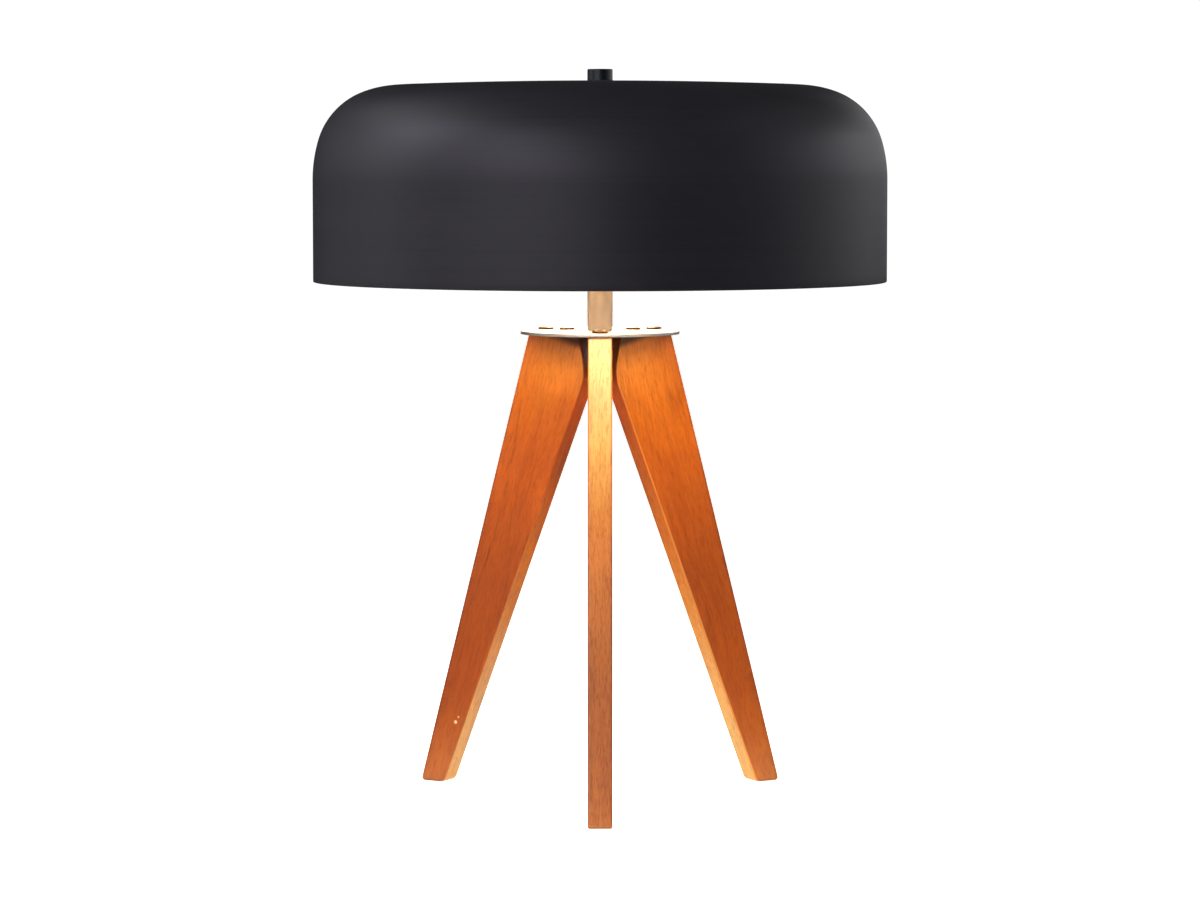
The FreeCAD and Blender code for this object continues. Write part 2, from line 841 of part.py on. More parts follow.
turned_part(
    "finial_washer",
    [
        (pipe_rad + 0.1, land_z),
        (finial_rad + 0.2, land_z),
        (finial_rad + 0.2, finial_z - 0.2),
        (finial_rad, finial_z),
        (pipe_rad + 0.1, finial_z),
    ],
)
bore = pipe_rad + 0.05
finial = turned_part(
    "finial",
    [
        (bore, finial_z),
        (finial_rad - 0.2, finial_z),
        (finial_rad, finial_z + 0.2),
        (finial_rad, finial_top_z),
        (0.0, finial_top_z),
        (0.0, land_z + 8.0),
        (bore, land_z + 6.5),
    ],
)
ease(finial, "crown", lambda e: is_circle_at(e, finial_top_z.value), 0.9)

# ---- what carries the two lampholders --------------------------------------
nipple = turned_part(
    "nipple_master",
    [(pipe_bore, 17.0), (pipe_rad, 17.0), (pipe_rad, 33.5), (pipe_bore, 33.5)],
    keep=False,
)
group("holder_nipples", nipple, [(0.0, 0.0, axis_z, FRONT), (0.0, 0.0, axis_z, BACK)])
nipple_nut = make_nut("nipple_nut_master", boss_out, 3.0, keep=False)
group("nipple_nuts", nipple_nut, [(0.0, 0.0, axis_z, FRONT), (0.0, 0.0, axis_z, BACK)])

splice = new_body("splice_master", keep=False)
sk = new_sketch(splice, "block", "XZ_Plane")
polygon(sk, [(-3.0, -3.0), (3.0, -3.0), (3.0, 3.0), (-3.0, 3.0)])
pad(splice, "block_pad", sk, 18.0, both=True)
ease(splice, "edges", lambda e: e.BoundBox.YLength > 10.0, 1.0)
group("splices", splice, [(9.5, 0.0, axis_z, []), (-9.5, 0.0, axis_z, [])])

cap_end = 46.0
body_low, body_high = 43.5, 61.5
tip = 64.4                       # the bulb's contact, from the lamp's axis


def thread(r_crest, r_root, z0, turns_n):
    """Crests and roots of a rolled lamp thread, from z0 up."""
    out = []
    for k in range(turns_n):
        z = z0 + pitch * k
        out.append((r_root, z))
        out.append((r_root, z + pitch * 0.18))
        out.append((r_crest, z + pitch * 0.43))
        out.append((r_crest, z + pitch * 0.75))
    out.append((r_root, z0 + pitch * turns_n))
    return out


def make_holder(side, turns):
    def finish(body):
        place(body, 0.0, 0.0, axis_z, turns)
        return body

    def own(name):
        return name + "_" + side

    # cap: the metal base cup that screws on the nipple
    finish(
        turned_part(
            own("holder_cap"),
            [
                (pipe_rad + 0.05, boss_out + 3.0),
                (7.6, boss_out + 3.0),
                (7.6, 30.6),
                (10.2, 31.9),
                (14.6, 34.6),
                (16.3, 36.4),
                (cap_rad, 38.6),
                (cap_rad, cap_end - 0.3),
                (cap_rad - 0.3, cap_end),
                (cap_rad - 0.8, cap_end),
                (cap_rad - 0.8, 38.8),
                (15.5, 36.9),
                (14.0, 35.3),
                (9.8, 32.7),
                (7.2, 31.4),
                (pipe_rad + 0.05, 31.4),
            ],
        )
    )
    # outer shell with a beaded mouth
    shell = turned_part(
        own("holder_shell"),
        [
            (holder_rad - 0.7, 42.5),
            (holder_rad, 42.5),
            (holder_rad, 85.8),
            (holder_rad + 0.7, 86.6),
            (holder_rad + 0.7, 87.8),
            (holder_rad, 88.6),
            (holder_rad - 0.7, 88.6),
        ],
    )
    doc.recompute()
    before = shell.Shape.Volume
    sk = new_sketch(shell, "shaft_hole_outline", "XZ_Plane")
    circle(sk, 0.0, knob_out, 3.2)
    pocket(shell, "shaft_hole", sk, holder_rad + 2.0, flip=True)
    removed(shell, before, "shaft hole")
    finish(shell)
    # insulating liner
    liner = turned_part(
        own("holder_liner"),
        [(14.75, 42.5), (15.2, 42.5), (15.2, 86.0), (14.75, 86.0)],
    )
    doc.recompute()
    before = liner.Shape.Volume
    sk = new_sketch(liner, "shaft_hole_outline", "XZ_Plane")
    circle(sk, 0.0, knob_out, 3.2)
    pocket(liner, "shaft_hole", sk, holder_rad + 2.0, flip=True)
    removed(liner, before, "shaft hole")
    finish(liner)
    # insulating body with flats for the terminals and a bore for the switch
    core = new_body(own("holder_body"))
    turned(
        core,
        "turn",
        lambda sk: polygon(
            sk,
            [
                (0.0, body_low), (14.0, body_low), (14.6, body_low + 0.6),
                (14.6, body_high - 0.6), (14.0, body_high), (0.0, body_high),
            ],
        ),
    )
    doc.recompute()
    before = core.Shape.Volume
    sk = new_sketch(core, "flats_outline", "XZ_Plane")
    polygon(sk, [(11.5, body_low - 1.0), (15.6, body_low - 1.0), (15.6, 56.0), (11.5, 56.0)])
    polygon(sk, [(-15.6, body_low - 1.0), (-11.5, body_low - 1.0), (-11.5, 56.0), (-15.6, 56.0)])
    pocket(core, "flats", sk, 32.0, both=True)
    removed(core, before, "flats")
    before = core.Shape.Volume
    sk = new_sketch(core, "terminal_outline", "YZ_Plane")
    circle(sk, 0.0, knob_out + 1.0, 1.7)
    pocket(core, "terminal_holes", sk, 26.0, both=True)
    removed(core, before, "terminal holes")
    before = core.Shape.Volume
    sk = new_sketch(core, "shaft_outline", "XZ_Plane", 5.0)
    circle(sk, 0.0, knob_out, 2.05)
    pocket(core, "shaft_bore", sk, 12.0, flip=True)
    removed(core, before, "shaft bore")
    finish(core)
    # brass screw shell, rolled
    inner = thread(screw_shell_in, screw_shell_in + 0.6, Size.of(64.6), 5)
    outer = [(r + 0.35, z) for r, z in inner]
    finish(
        turned_part(
            own("screw_shell"),
            [(9.6, body_high), (screw_shell_in + 0.95, body_high)]
            + outer[:-1]
            + [(screw_shell_in + 0.95, 83.6), (screw_shell_in + 0.6, 83.6)]
            + list(reversed(inner[:-1]))
            + [(screw_shell_in + 0.6, body_high + 0.4), (9.6, body_high + 0.4)],
        )
    )
    # centre contact: a bent brass tongue
    tongue = new_body(own("centre_contact"))
    sk = new_sketch(tongue, "strip", "XZ_Plane")
    polygon(
        sk,
        [
            (-8.0, body_high), (-3.0, body_high), (0.0, tip - 0.5), (3.4, tip - 0.5),
            (3.4, tip - 0.1), (-0.2, tip - 0.1), (-3.2, body_high + 0.4), (-8.0, body_high + 0.4),
        ],
    )
    pad(tongue, "strip_pad", sk, 6.0, both=True)
    finish(tongue)
    # switch knob on its shaft, pointing down
    knob = new_body(own("switch_knob"))
    turned(
        knob,
        "turn",
        lambda sk: polygon(
            sk,
            [
                (0.0, 6.5), (2.0, 6.5), (2.0, 19.0), (3.4, 19.0), (3.4, 20.5),
                (knob_rad - 0.4, 21.5), (knob_rad, 22.2), (knob_rad, 30.4),
                (knob_rad - 0.8, 31.2), (0.0, 31.2),
            ],
        ),
    )
    doc.recompute()
    before = knob.Shape.Volume
    sk = new_sketch(knob, "flute_outline", "XY_Plane", 21.0)
    circle(sk, knob_rad + 0.35, 0.0, 0.95)
    flute = pocket(knob, "flute", sk, 11.0, flip=True)
    doc.recompute()
    ring = knob.newObject("PartDesign::PolarPattern", own("switch_knob") + "_flutes")
    ring.Originals = [flute]
    ring.Axis = (sk, ["N_Axis"])
    ring.Angle = 360
    ring.Occurrences = 12
    knob.Tip = ring
    removed(knob, before, "flutes")
    out = -1.0 if side == "front" else 1.0
    place(knob, 0.0, knob_out * out, axis_z, [(X, 180.0)])
    # leads from the splices to the terminals
    runs = [(9.5, 9.0), (9.5, 12.6), (1.5, 15.6), (1.5, 35.6), (13.1, 42.4), (13.1, knob_out.value - 2.1)]
    leads = []
    for hand in (1.0, -1.0):
        lead = new_body(own("lead") + ("_a" if hand > 0 else "_b"), keep=False)
        path = new_sketch(lead, "path", "XZ_Plane")
        pts = [V(hand * x, z, 0) for x, z in runs]
        rounded(path, pts)
        prof = new_sketch(lead, "section", "XY_Plane", runs[0][1])
        circle(prof, hand * runs[0][0], 0.0, lead_rad)
        sweep = lead.newObject("PartDesign::AdditivePipe", own("lead") + "_sweep_" + ("a" if hand > 0 else "b"))
        sweep.Profile = prof
        sweep.Spine = path
        finish(lead)
        leads.append(lead)
    bundle = doc.addObject("Part::Compound", own("leads"))
    bundle.Label = own("leads")
    bundle.Links = leads
    parts.append(bundle)
    # terminal screws, one each side
    group(
        own("terminal_screws"),
        terminal,
        [
            (11.5, out * (knob_out + 1.0), axis_z, [(Y, 90.0)]),
            (-11.5, out * (knob_out + 1.0), axis_z, [(Y, -90.0)]),
        ],
    )


def rounded(sk, pts):
    """Straight runs joined by tangent arcs, each as large as its runs allow."""
    n = len(pts)
    cuts = [0.0] * n
    arcs = {}
    for i in range(1, n - 1):
        a, b = pts[i] - pts[i - 1], pts[i + 1] - pts[i]
        turn = a.getAngle(b)
        t = 0.45 * min(a.Length, b.Length)
        cuts[i] = t
        arcs[i] = (t / math.tan(turn / 2.0), a.normalize(), b.normalize(), turn)
    last = None
    for i in range(n - 1):
        d = (pts[i + 1] - pts[i])
        d.normalize()
        p = pts[i] + d * cuts[i]
        q = pts[i + 1] - d * cuts[i + 1]
        g = sk.addGeometry(Part.LineSegment(p, q), False)
        if last is not None:
            sk.addConstraint(Sketcher.Constraint("Coincident", last[0], last[1], g, 1))
        last = (g, 2)
        if i + 1 in arcs:
            r, a, b, turn = arcs[i + 1]
            left = (a.x * b.y - a.y * b.x) > 0
            nrm = V(-a.y, a.x, 0) if left else V(a.y, -a.x, 0)
            c = q + nrm * r
            s = pts[i + 1] + b * cuts[i + 1]
            a0 = math.atan2(q.y - c.y, q.x - c.x)
            a1 = math.atan2(s.y - c.y, s.x - c.x)
            if left:
                g = sk.addGeometry(
                    Part.ArcOfCircle(Part.Circle(c, Z, r), a0, a1 if a1 > a0 else a1 + 2 * math.pi), False
                )
                sk.addConstraint(Sketcher.Constraint("Coincident", last[0], last[1], g, 1))
                last = (g, 2)
            else:
                g = sk.addGeometry(
                    Part.ArcOfCircle(Part.Circle(c, Z, r), a1, a0 if a0 > a1 else a0 + 2 * math.pi), False
                )
                sk.addConstraint(Sketcher.Constraint("Coincident", last[0], last[1], g, 2))
                last = (g, 1)
    # the route is fixed as drawn
    for k in range(sk.GeometryCount):
        sk.addConstraint(Sketcher.Constraint("Block", k))


terminal = turned_part(
    "terminal_master",
    [(0.0, -3.5), (1.7, -3.5), (1.7, 0.0), (3.0, 0.0), (3.0, 1.3), (2.5, 1.8), (0.0, 1.8)],
    keep=False,
)
sk = new_sketch(terminal, "slot_outline", "XY_Plane", 2.0)
polygon(sk, [(-3.5, -0.4), (3.5, -0.4), (3.5, 0.4), (-3.5, 0.4)])
doc.recompute()
before = terminal.Shape.Volume
pocket(terminal, "slot", sk, 1.0)
removed(terminal, before, "slot")

make_holder("front", FRONT)
make_holder("back", BACK)


# ---- bulbs -------------------------------------------------------------------
def bulb_outline(sk, neck_r, low_z, neck_z, flare, ball):
    nx = neck_r.value + flare.value
    rise = math.sqrt((flare.value + ball.value) ** 2 - nx ** 2)
    sz = neck_z.value + rise
    bend = math.atan2(rise, nx)
    neck = arc_between(sk, (nx, neck_z.value), flare.value, math.pi - bend, math.pi)
    globe = arc_between(sk, (0.0, sz), ball.value, -bend, math.pi / 2)

    def line(p, r):
        return sk.addGeometry(Part.LineSegment(V(p[0], p[1], 0), V(r[0], r[1], 0)), False)

    axis = line((0.0, sz + ball.value), (0.0, low_z.value))
    floor = line((0.0, low_z.value), (neck_r.value, low_z.value))
    side = line((neck_r.value, low_z.value), (neck_r.value, neck_z.value))
    add, C_ = sk.addConstraint, Sketcher.Constraint
    add(C_("Tangent", side, 2, neck, 2))
    add(C_("Tangent", neck, 1, globe, 1))
    add(C_("Coincident", globe, 2, axis, 1))
    add(C_("Coincident", axis, 2, floor, 1))
    add(C_("Coincident", floor, 2, side, 1))
    add(C_("PointOnObject", axis, 1, -2))
    add(C_("PointOnObject", axis, 2, -2))
    add(C_("PointOnObject", globe, 3, -2))
    add(C_("Horizontal", floor))
    add(C_("Vertical", side))
    bind(sk, add(C_("Radius", neck, flare.value)), flare)
    bind(sk, add(C_("Radius", globe, ball.value)), ball)
    pin_x(sk, side, 1, neck_r)
    pin_y(sk, side, 1, low_z)
    pin_y(sk, side, 2, neck_z)


def make_bulb(side, turns):
    def finish(body):
        place(body, 0.0, 0.0, axis_z, turns)
        return body

    def own(name):
        return name + "_" + side

    low = Size.of(84.9)
    glass = new_body(own("bulb_glass"))
    turned(
        glass, "outside",
        lambda sk: bulb_outline(sk, bulb_neck, low, Size.of(88.4), bulb_flare, bulb_rad),
    )
    doc.recompute()
    before = glass.Shape.Volume
    turned(
        glass, "inside",
        lambda sk: bulb_outline(
            sk, bulb_neck - glass_wall, low - 0.5, Size.of(88.4),
            bulb_flare + glass_wall, bulb_rad - glass_wall,
        ),
        cut=True,
    )
    removed(glass, before, "inside")
    finish(glass)
    # screw cap
    inner_r = 12.0
    wave = thread(bulb_cap_rad, bulb_cap_rad - 0.6, Size.of(tip + 3.83), 4)
    finish(
        turned_part(
            own("bulb_cap"),
            [(9.5, tip + 2.3), (11.2, tip + 2.5)]
            + wave
            + [
                (bulb_cap_rad + 0.2, 84.2), (bulb_cap_rad + 0.2, 88.0), (12.85, 88.0),
                (12.85, 84.6), (inner_r, 83.8), (inner_r, tip + 4.0), (11.0, tip + 2.9),
                (9.5, tip + 2.7),
            ],
        )
    )
    finish(
        turned_part(
            own("bulb_insulator"),
            [
                (2.6, tip + 1.0), (5.5, tip + 1.0), (9.4, tip + 2.4), (9.4, tip + 3.3),
                (2.6, tip + 3.3),
            ],
        )
    )
    finish(
        turned_part(
            own("bulb_contact"),
            [
                (0.0, tip), (3.2, tip), (4.2, tip + 0.5), (4.2, tip + 1.0), (2.5, tip + 1.0),
                (2.5, tip + 3.3), (0.0, tip + 3.3),
            ],
        )
    )
    # glass stem that closes the neck and carries the filament
    finish(
        turned_part(
            own("bulb_stem"),
            [
                (0.0, 86.0), (3.0, 86.0), (6.5, 85.2), (11.4, 85.0), (11.4, 85.8),
                (6.9, 86.1), (4.2, 88.0), (3.2, 92.0), (3.2, 108.0), (4.4, 111.0),
                (4.4, 113.0), (0.0, 113.0),
            ],
        )
    )
    fil = new_body(own("filament"))
    path = new_sketch(fil, "path", "XZ_Plane")
    rounded(
        path,
        [V(-3.0, 113.0, 0), V(-3.0, 121.0, 0), V(-13.0, 137.0, 0), V(0.0, 147.0, 0),
         V(13.0, 137.0, 0), V(3.0, 121.0, 0), V(3.0, 113.0, 0)],
    )
    prof = new_sketch(fil, "section", "XY_Plane", 113.0)
    circle(prof, -3.0, 0.0, 0.6)
    sweep = fil.newObject("PartDesign::AdditivePipe", own("filament") + "_sweep")
    sweep.Profile = prof
    sweep.Spine = path
    finish(fil)


make_bulb("front", FRONT)
make_bulb("back", BACK)

# ---- check and write -----------------------------------------------------------
doc.recompute()
bad = []
for o in doc.Objects:
    states = [str(s) for s in o.State]
    if any(s in ("Invalid", "Error") for s in states):
        bad.append((o.Name, states))
for o in doc.Objects:
    if o.isDerivedFrom("Sketcher::SketchObject") and o.solve() != 0:
        bad.append((o.Name, "sketch not solved"))
for p in parts:
    s = p.Shape
    if s.isNull() or not s.isValid() or s.Volume <= 0.0 or not s.Solids:
        bad.append((p.Label, "bad shape"))
if bad:
    for b in bad:
        print("BAD", b)
    raise RuntimeError("the model has failed objects")

os.makedirs("parts", exist_ok=True)
keep = set(p.Label + ".step" for p in parts)
for name in os.listdir("parts"):
    if name.endswith(".step") and name not in keep:
        os.remove(os.path.join("parts", name))
for p in parts:
    p.Shape.exportStep("parts/%s.step" % p.Label)
    b = p.Shape.BoundBox
    print("%-24s solids %d volume %10.2f  z %.2f to %.2f" % (p.Label, len(p.Shape.Solids), p.Shape.Volume, b.ZMin, b.ZMax))
print("%d parts" % len(parts))
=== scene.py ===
import math

import bmesh
import bpy
from mathutils import Euler, Matrix, Vector


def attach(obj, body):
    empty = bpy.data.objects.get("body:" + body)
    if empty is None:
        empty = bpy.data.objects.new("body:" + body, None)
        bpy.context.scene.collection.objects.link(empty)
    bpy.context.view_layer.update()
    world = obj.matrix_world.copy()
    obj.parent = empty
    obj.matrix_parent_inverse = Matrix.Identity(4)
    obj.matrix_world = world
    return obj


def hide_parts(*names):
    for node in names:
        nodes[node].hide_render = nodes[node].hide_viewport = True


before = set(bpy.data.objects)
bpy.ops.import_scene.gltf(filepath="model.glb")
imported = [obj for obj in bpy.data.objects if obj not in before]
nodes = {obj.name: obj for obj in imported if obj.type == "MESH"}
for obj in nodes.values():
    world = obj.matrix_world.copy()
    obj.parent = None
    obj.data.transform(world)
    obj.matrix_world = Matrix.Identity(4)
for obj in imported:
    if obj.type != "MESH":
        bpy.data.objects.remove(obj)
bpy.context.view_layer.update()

scene = bpy.context.scene
scene.view_settings.view_transform = "Standard"
scene.view_settings.look = "None"


# ---- node helpers ------------------------------------------------------------
class Look:
    """A Principled material with short calls for the nodes that feed it."""

    def __init__(self, name, **sockets):
        self.mat = bpy.data.materials.new(name)
        self.mat.use_nodes = True
        self.tree = self.mat.node_tree
        self.tree.nodes.clear()
        out = self.tree.nodes.new("ShaderNodeOutputMaterial")
        self.out = out
        self.shader = self.tree.nodes.new("ShaderNodeBsdfPrincipled")
        self.tree.links.new(self.shader.outputs[0], out.inputs[0])
        self.object = self.tree.nodes.new("ShaderNodeTexCoord").outputs["Object"]
        self.set(**sockets)

    def set(self, **sockets):
        for key, value in sockets.items():
            socket = self.shader.inputs[key.replace("_", " ")]
            if isinstance(value, bpy.types.NodeSocket):
                self.tree.links.new(value, socket)
            elif isinstance(value, tuple) and len(value) == 3 and socket.type == "RGBA":
                socket.default_value = (*value, 1.0)
            else:
                socket.default_value = value
        return self

    def node(self, kind, inputs=(), **props):
        n = self.tree.nodes.new(kind)
        for key, value in props.items():
            setattr(n, key, value)
        for key, value in dict(inputs).items():
            if isinstance(value, bpy.types.NodeSocket):
                self.tree.links.new(value, n.inputs[key])
            else:
                n.inputs[key].default_value = value
        return n

    def mapped(self, vector=None, location=(0, 0, 0), rotation=(0, 0, 0), scale=(1, 1, 1)):
        return self.node("ShaderNodeMapping", {
            "Vector": vector or self.object, "Location": location, "Rotation": rotation, "Scale": scale,
        }).outputs[0]

    def noise(self, vector, scale=1.0, detail=2.0, rough=0.5, distortion=0.0):
        return self.node("ShaderNodeTexNoise", {
            "Vector": vector, "Scale": scale, "Detail": detail, "Roughness": rough, "Distortion": distortion,
        }).outputs["Fac"]

    def math(self, op, a, b=0.0, c=0.0, clamp=False):
        return self.node("ShaderNodeMath", {0: a, 1: b, 2: c}, operation=op, use_clamp=clamp).outputs[0]

    def vmath(self, op, a, b=(0, 0, 0), out=0):
        return self.node("ShaderNodeVectorMath", {0: a, 1: b}, operation=op).outputs[out]

    def range(self, value, lo, hi, to_lo=0.0, to_hi=1.0, smooth=False):
        return self.node("ShaderNodeMapRange", {
            "Value": value, "From Min": lo, "From Max": hi, "To Min": to_lo, "To Max": to_hi,
        }, interpolation_type="SMOOTHSTEP" if smooth else "LINEAR").outputs[0]

    def ramp(self, fac, stops):
        n = self.node("ShaderNodeValToRGB", {"Fac": fac})
        e = n.color_ramp.elements
        while len(e) < len(stops):
            e.new(0.5)
        for el, (pos, col) in zip(e, stops):
            el.position = pos
            el.color = (*col, 1.0)
        return n.outputs[0]

    def mix(self, fac, a, b, mode="MIX"):
        n = self.node("ShaderNodeMix", data_type="RGBA", blend_type=mode)
        for index, value in ((0, fac), (6, a), (7, b)):
            if isinstance(value, bpy.types.NodeSocket):
                self.tree.links.new(value, n.inputs[index])
            elif isinstance(value, tuple) and len(value) == 3:
                n.inputs[index].default_value = (*value, 1.0)
            else:
                n.inputs[index].default_value = value
        return n.outputs[2]

    def split(self, vector):
        n = self.node("ShaderNodeSeparateXYZ", {0: vector})
        return n.outputs[0], n.outputs[1], n.outputs[2]

    def join(self, x, y, z):
        return self.node("ShaderNodeCombineXYZ", {0: x, 1: y, 2: z}).outputs[0]

    def bump(self, height, distance, strength=1.0, normal=None):
        inputs = {"Height": height, "Distance": distance, "Strength": strength}
        if normal is not None:
            inputs["Normal"] = normal
        return self.node("ShaderNodeBump", inputs).outputs[0]


def wear(look, *names):
    for name in names:
        mesh = nodes[name].data
        mesh.materials.clear()
        mesh.materials.append(look.mat)


# ---- camera --------------------------------------------------------------
cam_data = bpy.data.cameras.new("camera")
cam_data.sensor_width = 36.0
cam_data.lens = 118.9
cam_data.clip_start, cam_data.clip_end = 0.05, 60.0
camera = bpy.data.objects.new("camera", cam_data)
camera.location = (0.0, -2.9922, 0.4907)
camera.rotation_euler = (math.radians(90.0 - 4.3513), 0.0, 0.0)
scene.collection.objects.link(camera)
scene.camera = camera


# ---- stained wood ----------------------------------------------------------
# the stain's colour by height (m), on the broad faces, the outer narrow edge and the inner narrow edge, with painted
# light and shade in it: lighter and yellower where the lamp's light falls, darkest in painted shade just under the
# plate
BROAD = [
    (0.000, (0.438, 0.111, 0.0082)), (0.040, (0.437, 0.097, 0.0068)), (0.075, (0.394, 0.079, 0.0067)),
    (0.115, (0.396, 0.082, 0.0074)), (0.160, (0.366, 0.078, 0.0087)), (0.200, (0.422, 0.096, 0.0100)),
    (0.255, (0.468, 0.113, 0.0101)), (0.300, (0.630, 0.181, 0.0100)), (0.325, (0.790, 0.264, 0.0272)),
    (0.352, (0.660, 0.194, 0.0620)),
]
OUTER = [
    (0.000, (0.510, 0.166, 0.0320)), (0.060, (0.530, 0.160, 0.0326)), (0.105, (0.490, 0.160, 0.0330)),
    (0.150, (0.505, 0.187, 0.0425)), (0.190, (0.495, 0.190, 0.0425)), (0.225, (0.395, 0.176, 0.0350)),
    (0.265, (0.415, 0.282, 0.0830)), (0.310, (0.425, 0.262, 0.1330)), (0.352, (0.425, 0.202, 0.1040)),
]
INNER = [
    (0.000, (0.565, 0.257, 0.0480)), (0.040, (0.720, 0.372, 0.0860)), (0.075, (0.780, 0.346, 0.0480)),
    (0.113, (0.780, 0.289, 0.0152)), (0.160, (0.848, 0.280, 0.0130)), (0.200, (0.765, 0.210, 0.0094)),
    (0.240, (0.600, 0.145, 0.0078)), (0.305, (0.780, 0.154, 0.0042)), (0.330, (0.420, 0.100, 0.0060)),
    (0.352, (0.230, 0.060, 0.0080)),
]


def wood(name, azimuth, seed, tint=(1.0, 1.0, 1.0), marks=(), lines=(), patches=(), edge_highlight=0.0):
    """Stained board. Its own axes are across the face, through the thickness and along the grain.

    tint scales this board's colour, a painted lightening or darkening for how much light falls on it; patches are soft
    darker places (centre, radius, colour factor);
    the last argument sets a painted highlight along its inner eased edges.
    """
    w = Look(name)
    a, lean = math.radians(azimuth), math.radians(15.7)
    out = Vector((math.cos(a), math.sin(a), 0.0))
    side = Vector((-math.sin(a), math.cos(a), 0.0))
    along = -math.sin(lean) * out + math.cos(lean) * Vector((0, 0, 1))
    across = math.cos(lean) * out + math.sin(lean) * Vector((0, 0, 1))
    # board coordinates in metres: distance in from the outer edge, through the thickness, along the edge
    u = w.math("SUBTRACT", 0.1505, w.vmath("DOT_PRODUCT", w.object, tuple(across), out=1))
    v = w.vmath("DOT_PRODUCT", w.object, tuple(side), out=1)
    t = w.vmath("DOT_PRODUCT", w.object, tuple(along), out=1)
    up = w.split(w.object)[2]
    # slow wander of the grain, so that no line is quite straight
    plain = w.join(u, v, w.math("ADD", t, seed * 1.7))
    sway = w.noise(w.mapped(plain, scale=(5, 5, 7.0)), 1.0, 2.0)
    sway = w.math("MULTIPLY", w.math("SUBTRACT", sway, 0.5), 0.016)
    ug, vg = w.math("ADD", u, sway), w.math("ADD", v, w.math("MULTIPLY", sway, 0.4))
    board = w.join(ug, vg, w.math("ADD", t, seed * 1.7))
    ring = w.vmath("LENGTH", w.join(w.math("ADD", ug, 0.05 + 0.01 * seed), w.math("ADD", vg, 0.08), w.math("MULTIPLY", t, 0.03)), out=1)
    ring = w.math("ADD", ring, w.math("MULTIPLY", w.noise(w.mapped(board, scale=(60, 60, 7)), 1.0, 3.0), 0.005))
    year = w.math("FRACT", w.math("MULTIPLY", ring, 150.0))
    late = w.math("MULTIPLY", w.math("POWER", year, 3.0), w.range(year, 0.88, 1.0, 1.0, 0.0))
    blotch = w.noise(w.mapped(board, location=(seed, 0, 0), scale=(42, 42, 15)), 1.0, 3.0, 0.55)
    broad = w.noise(w.mapped(board, location=(0, seed, 0), scale=(14, 14, 5)), 1.0, 2.0, 0.5)
    streak = w.noise(w.mapped(board, location=(0, seed * 3.0, 0), scale=(170, 170, 7)), 1.0, 3.0, 0.55)
    fleck = w.noise(w.mapped(board, scale=(560, 560, 64)), 1.0, 2.0, 0.6)
    fine = w.noise(w.mapped(board, scale=(2400, 2400, 170)), 1.0, 2.0, 0.6)
    pores = w.noise(w.mapped(board, scale=(1500, 1500, 110)), 1.0, 1.0, 0.5)
    pore = w.range(pores, 0.64, 0.72, 0.0, 1.0, smooth=True)
    tone = w.math("ADD", w.math("MULTIPLY", blotch, 0.32), w.math("MULTIPLY", broad, 0.18))
    tone = w.math("ADD", tone, w.math("MULTIPLY", streak, 0.18))
    tone = w.math("ADD", tone, w.math("MULTIPLY", fleck, 0.32))
    tone = w.math("SUBTRACT", tone, w.math("MULTIPLY", late, 0.05))
    tone = w.math("MULTIPLY_ADD", tone, 1.3, -0.15)
    shade_of = w.ramp(tone, [
        (0.24, (0.33, 0.28, 0.25)), (0.42, (0.455, 0.430, 0.410)), (0.52, (0.51, 0.505, 0.50)), (0.74, (0.60, 0.64, 0.68)),
    ])

    def by_height(stops):
        return w.ramp(w.math("MULTIPLY", up, 1.0 / 0.36), [(h / 0.36, c) for h, c in stops])

    narrow = w.range(w.math("ABSOLUTE", v), 0.0078, 0.0086, 1.0, 0.0, smooth=True)
    near_out = w.range(u, 0.004, 0.006, 1.0, 0.0)
    # this colour carries the painted light and shade of the height ramps along with the stain
    stain_with_light = w.mix(narrow, by_height(BROAD), w.mix(near_out, by_height(INNER), by_height(OUTER)))
    # tint: painted lightening or darkening of the whole board for the light that falls on it
    colour = w.mix(1.0, w.mix(1.0, stain_with_light, shade_of, "MULTIPLY"), tuple(2.0 * c for c in tint), "MULTIPLY")
    for centre, size, factor in patches:
        d = w.vmath("LENGTH", w.vmath("SUBTRACT", w.object, centre), out=1)
        d = w.math("ADD", d, w.math("MULTIPLY", w.math("SUBTRACT", blotch, 0.5), size * 0.5))
        colour = w.mix(w.range(d, size * 0.25, size, 1.0, 0.0, smooth=True), colour, w.mix(1.0, colour, factor, "MULTIPLY"))
    # open pores cut lengthwise, filled with darker stain: plainest on the narrow edges
    dashes = w.noise(w.mapped(board, location=(0.3, seed, 0), scale=(1020, 1020, 140)), 1.0, 1.5, 0.5)
    dash = w.math("MULTIPLY", w.range(dashes, 0.53, 0.64, 0.0, 1.0, smooth=True), w.range(narrow, 0.0, 1.0, 0.36, 0.54))
    colour = w.mix(dash, colour, w.mix(1.0, colour, (0.62, 0.40, 0.22), "MULTIPLY"))
    colour = w.mix(w.math("MULTIPLY", pore, 0.30), colour, (0.14, 0.034, 0.007))
    # painted shade: the outer border of the broad faces is darkened where the eased edge turns away from the light
    edge_shade = w.math("MULTIPLY", w.range(u, 0.0008, 0.0034, 0.5, 0.0, smooth=True), w.math("SUBTRACT", 1.0, narrow))
    colour = w.mix(edge_shade, colour, w.mix(1.0, colour, (0.55, 0.36, 0.30), "MULTIPLY"))
    rough = w.range(fleck, 0.3, 0.7, 0.36, 0.46)
    height = w.math("ADD", w.math("MULTIPLY", fleck, 0.5), w.math("MULTIPLY", fine, 0.35))
    height = w.math("SUBTRACT", height, w.math("MULTIPLY", pore, 0.9))
    height = w.math("SUBTRACT", height, w.math("MULTIPLY", dash, 0.6))
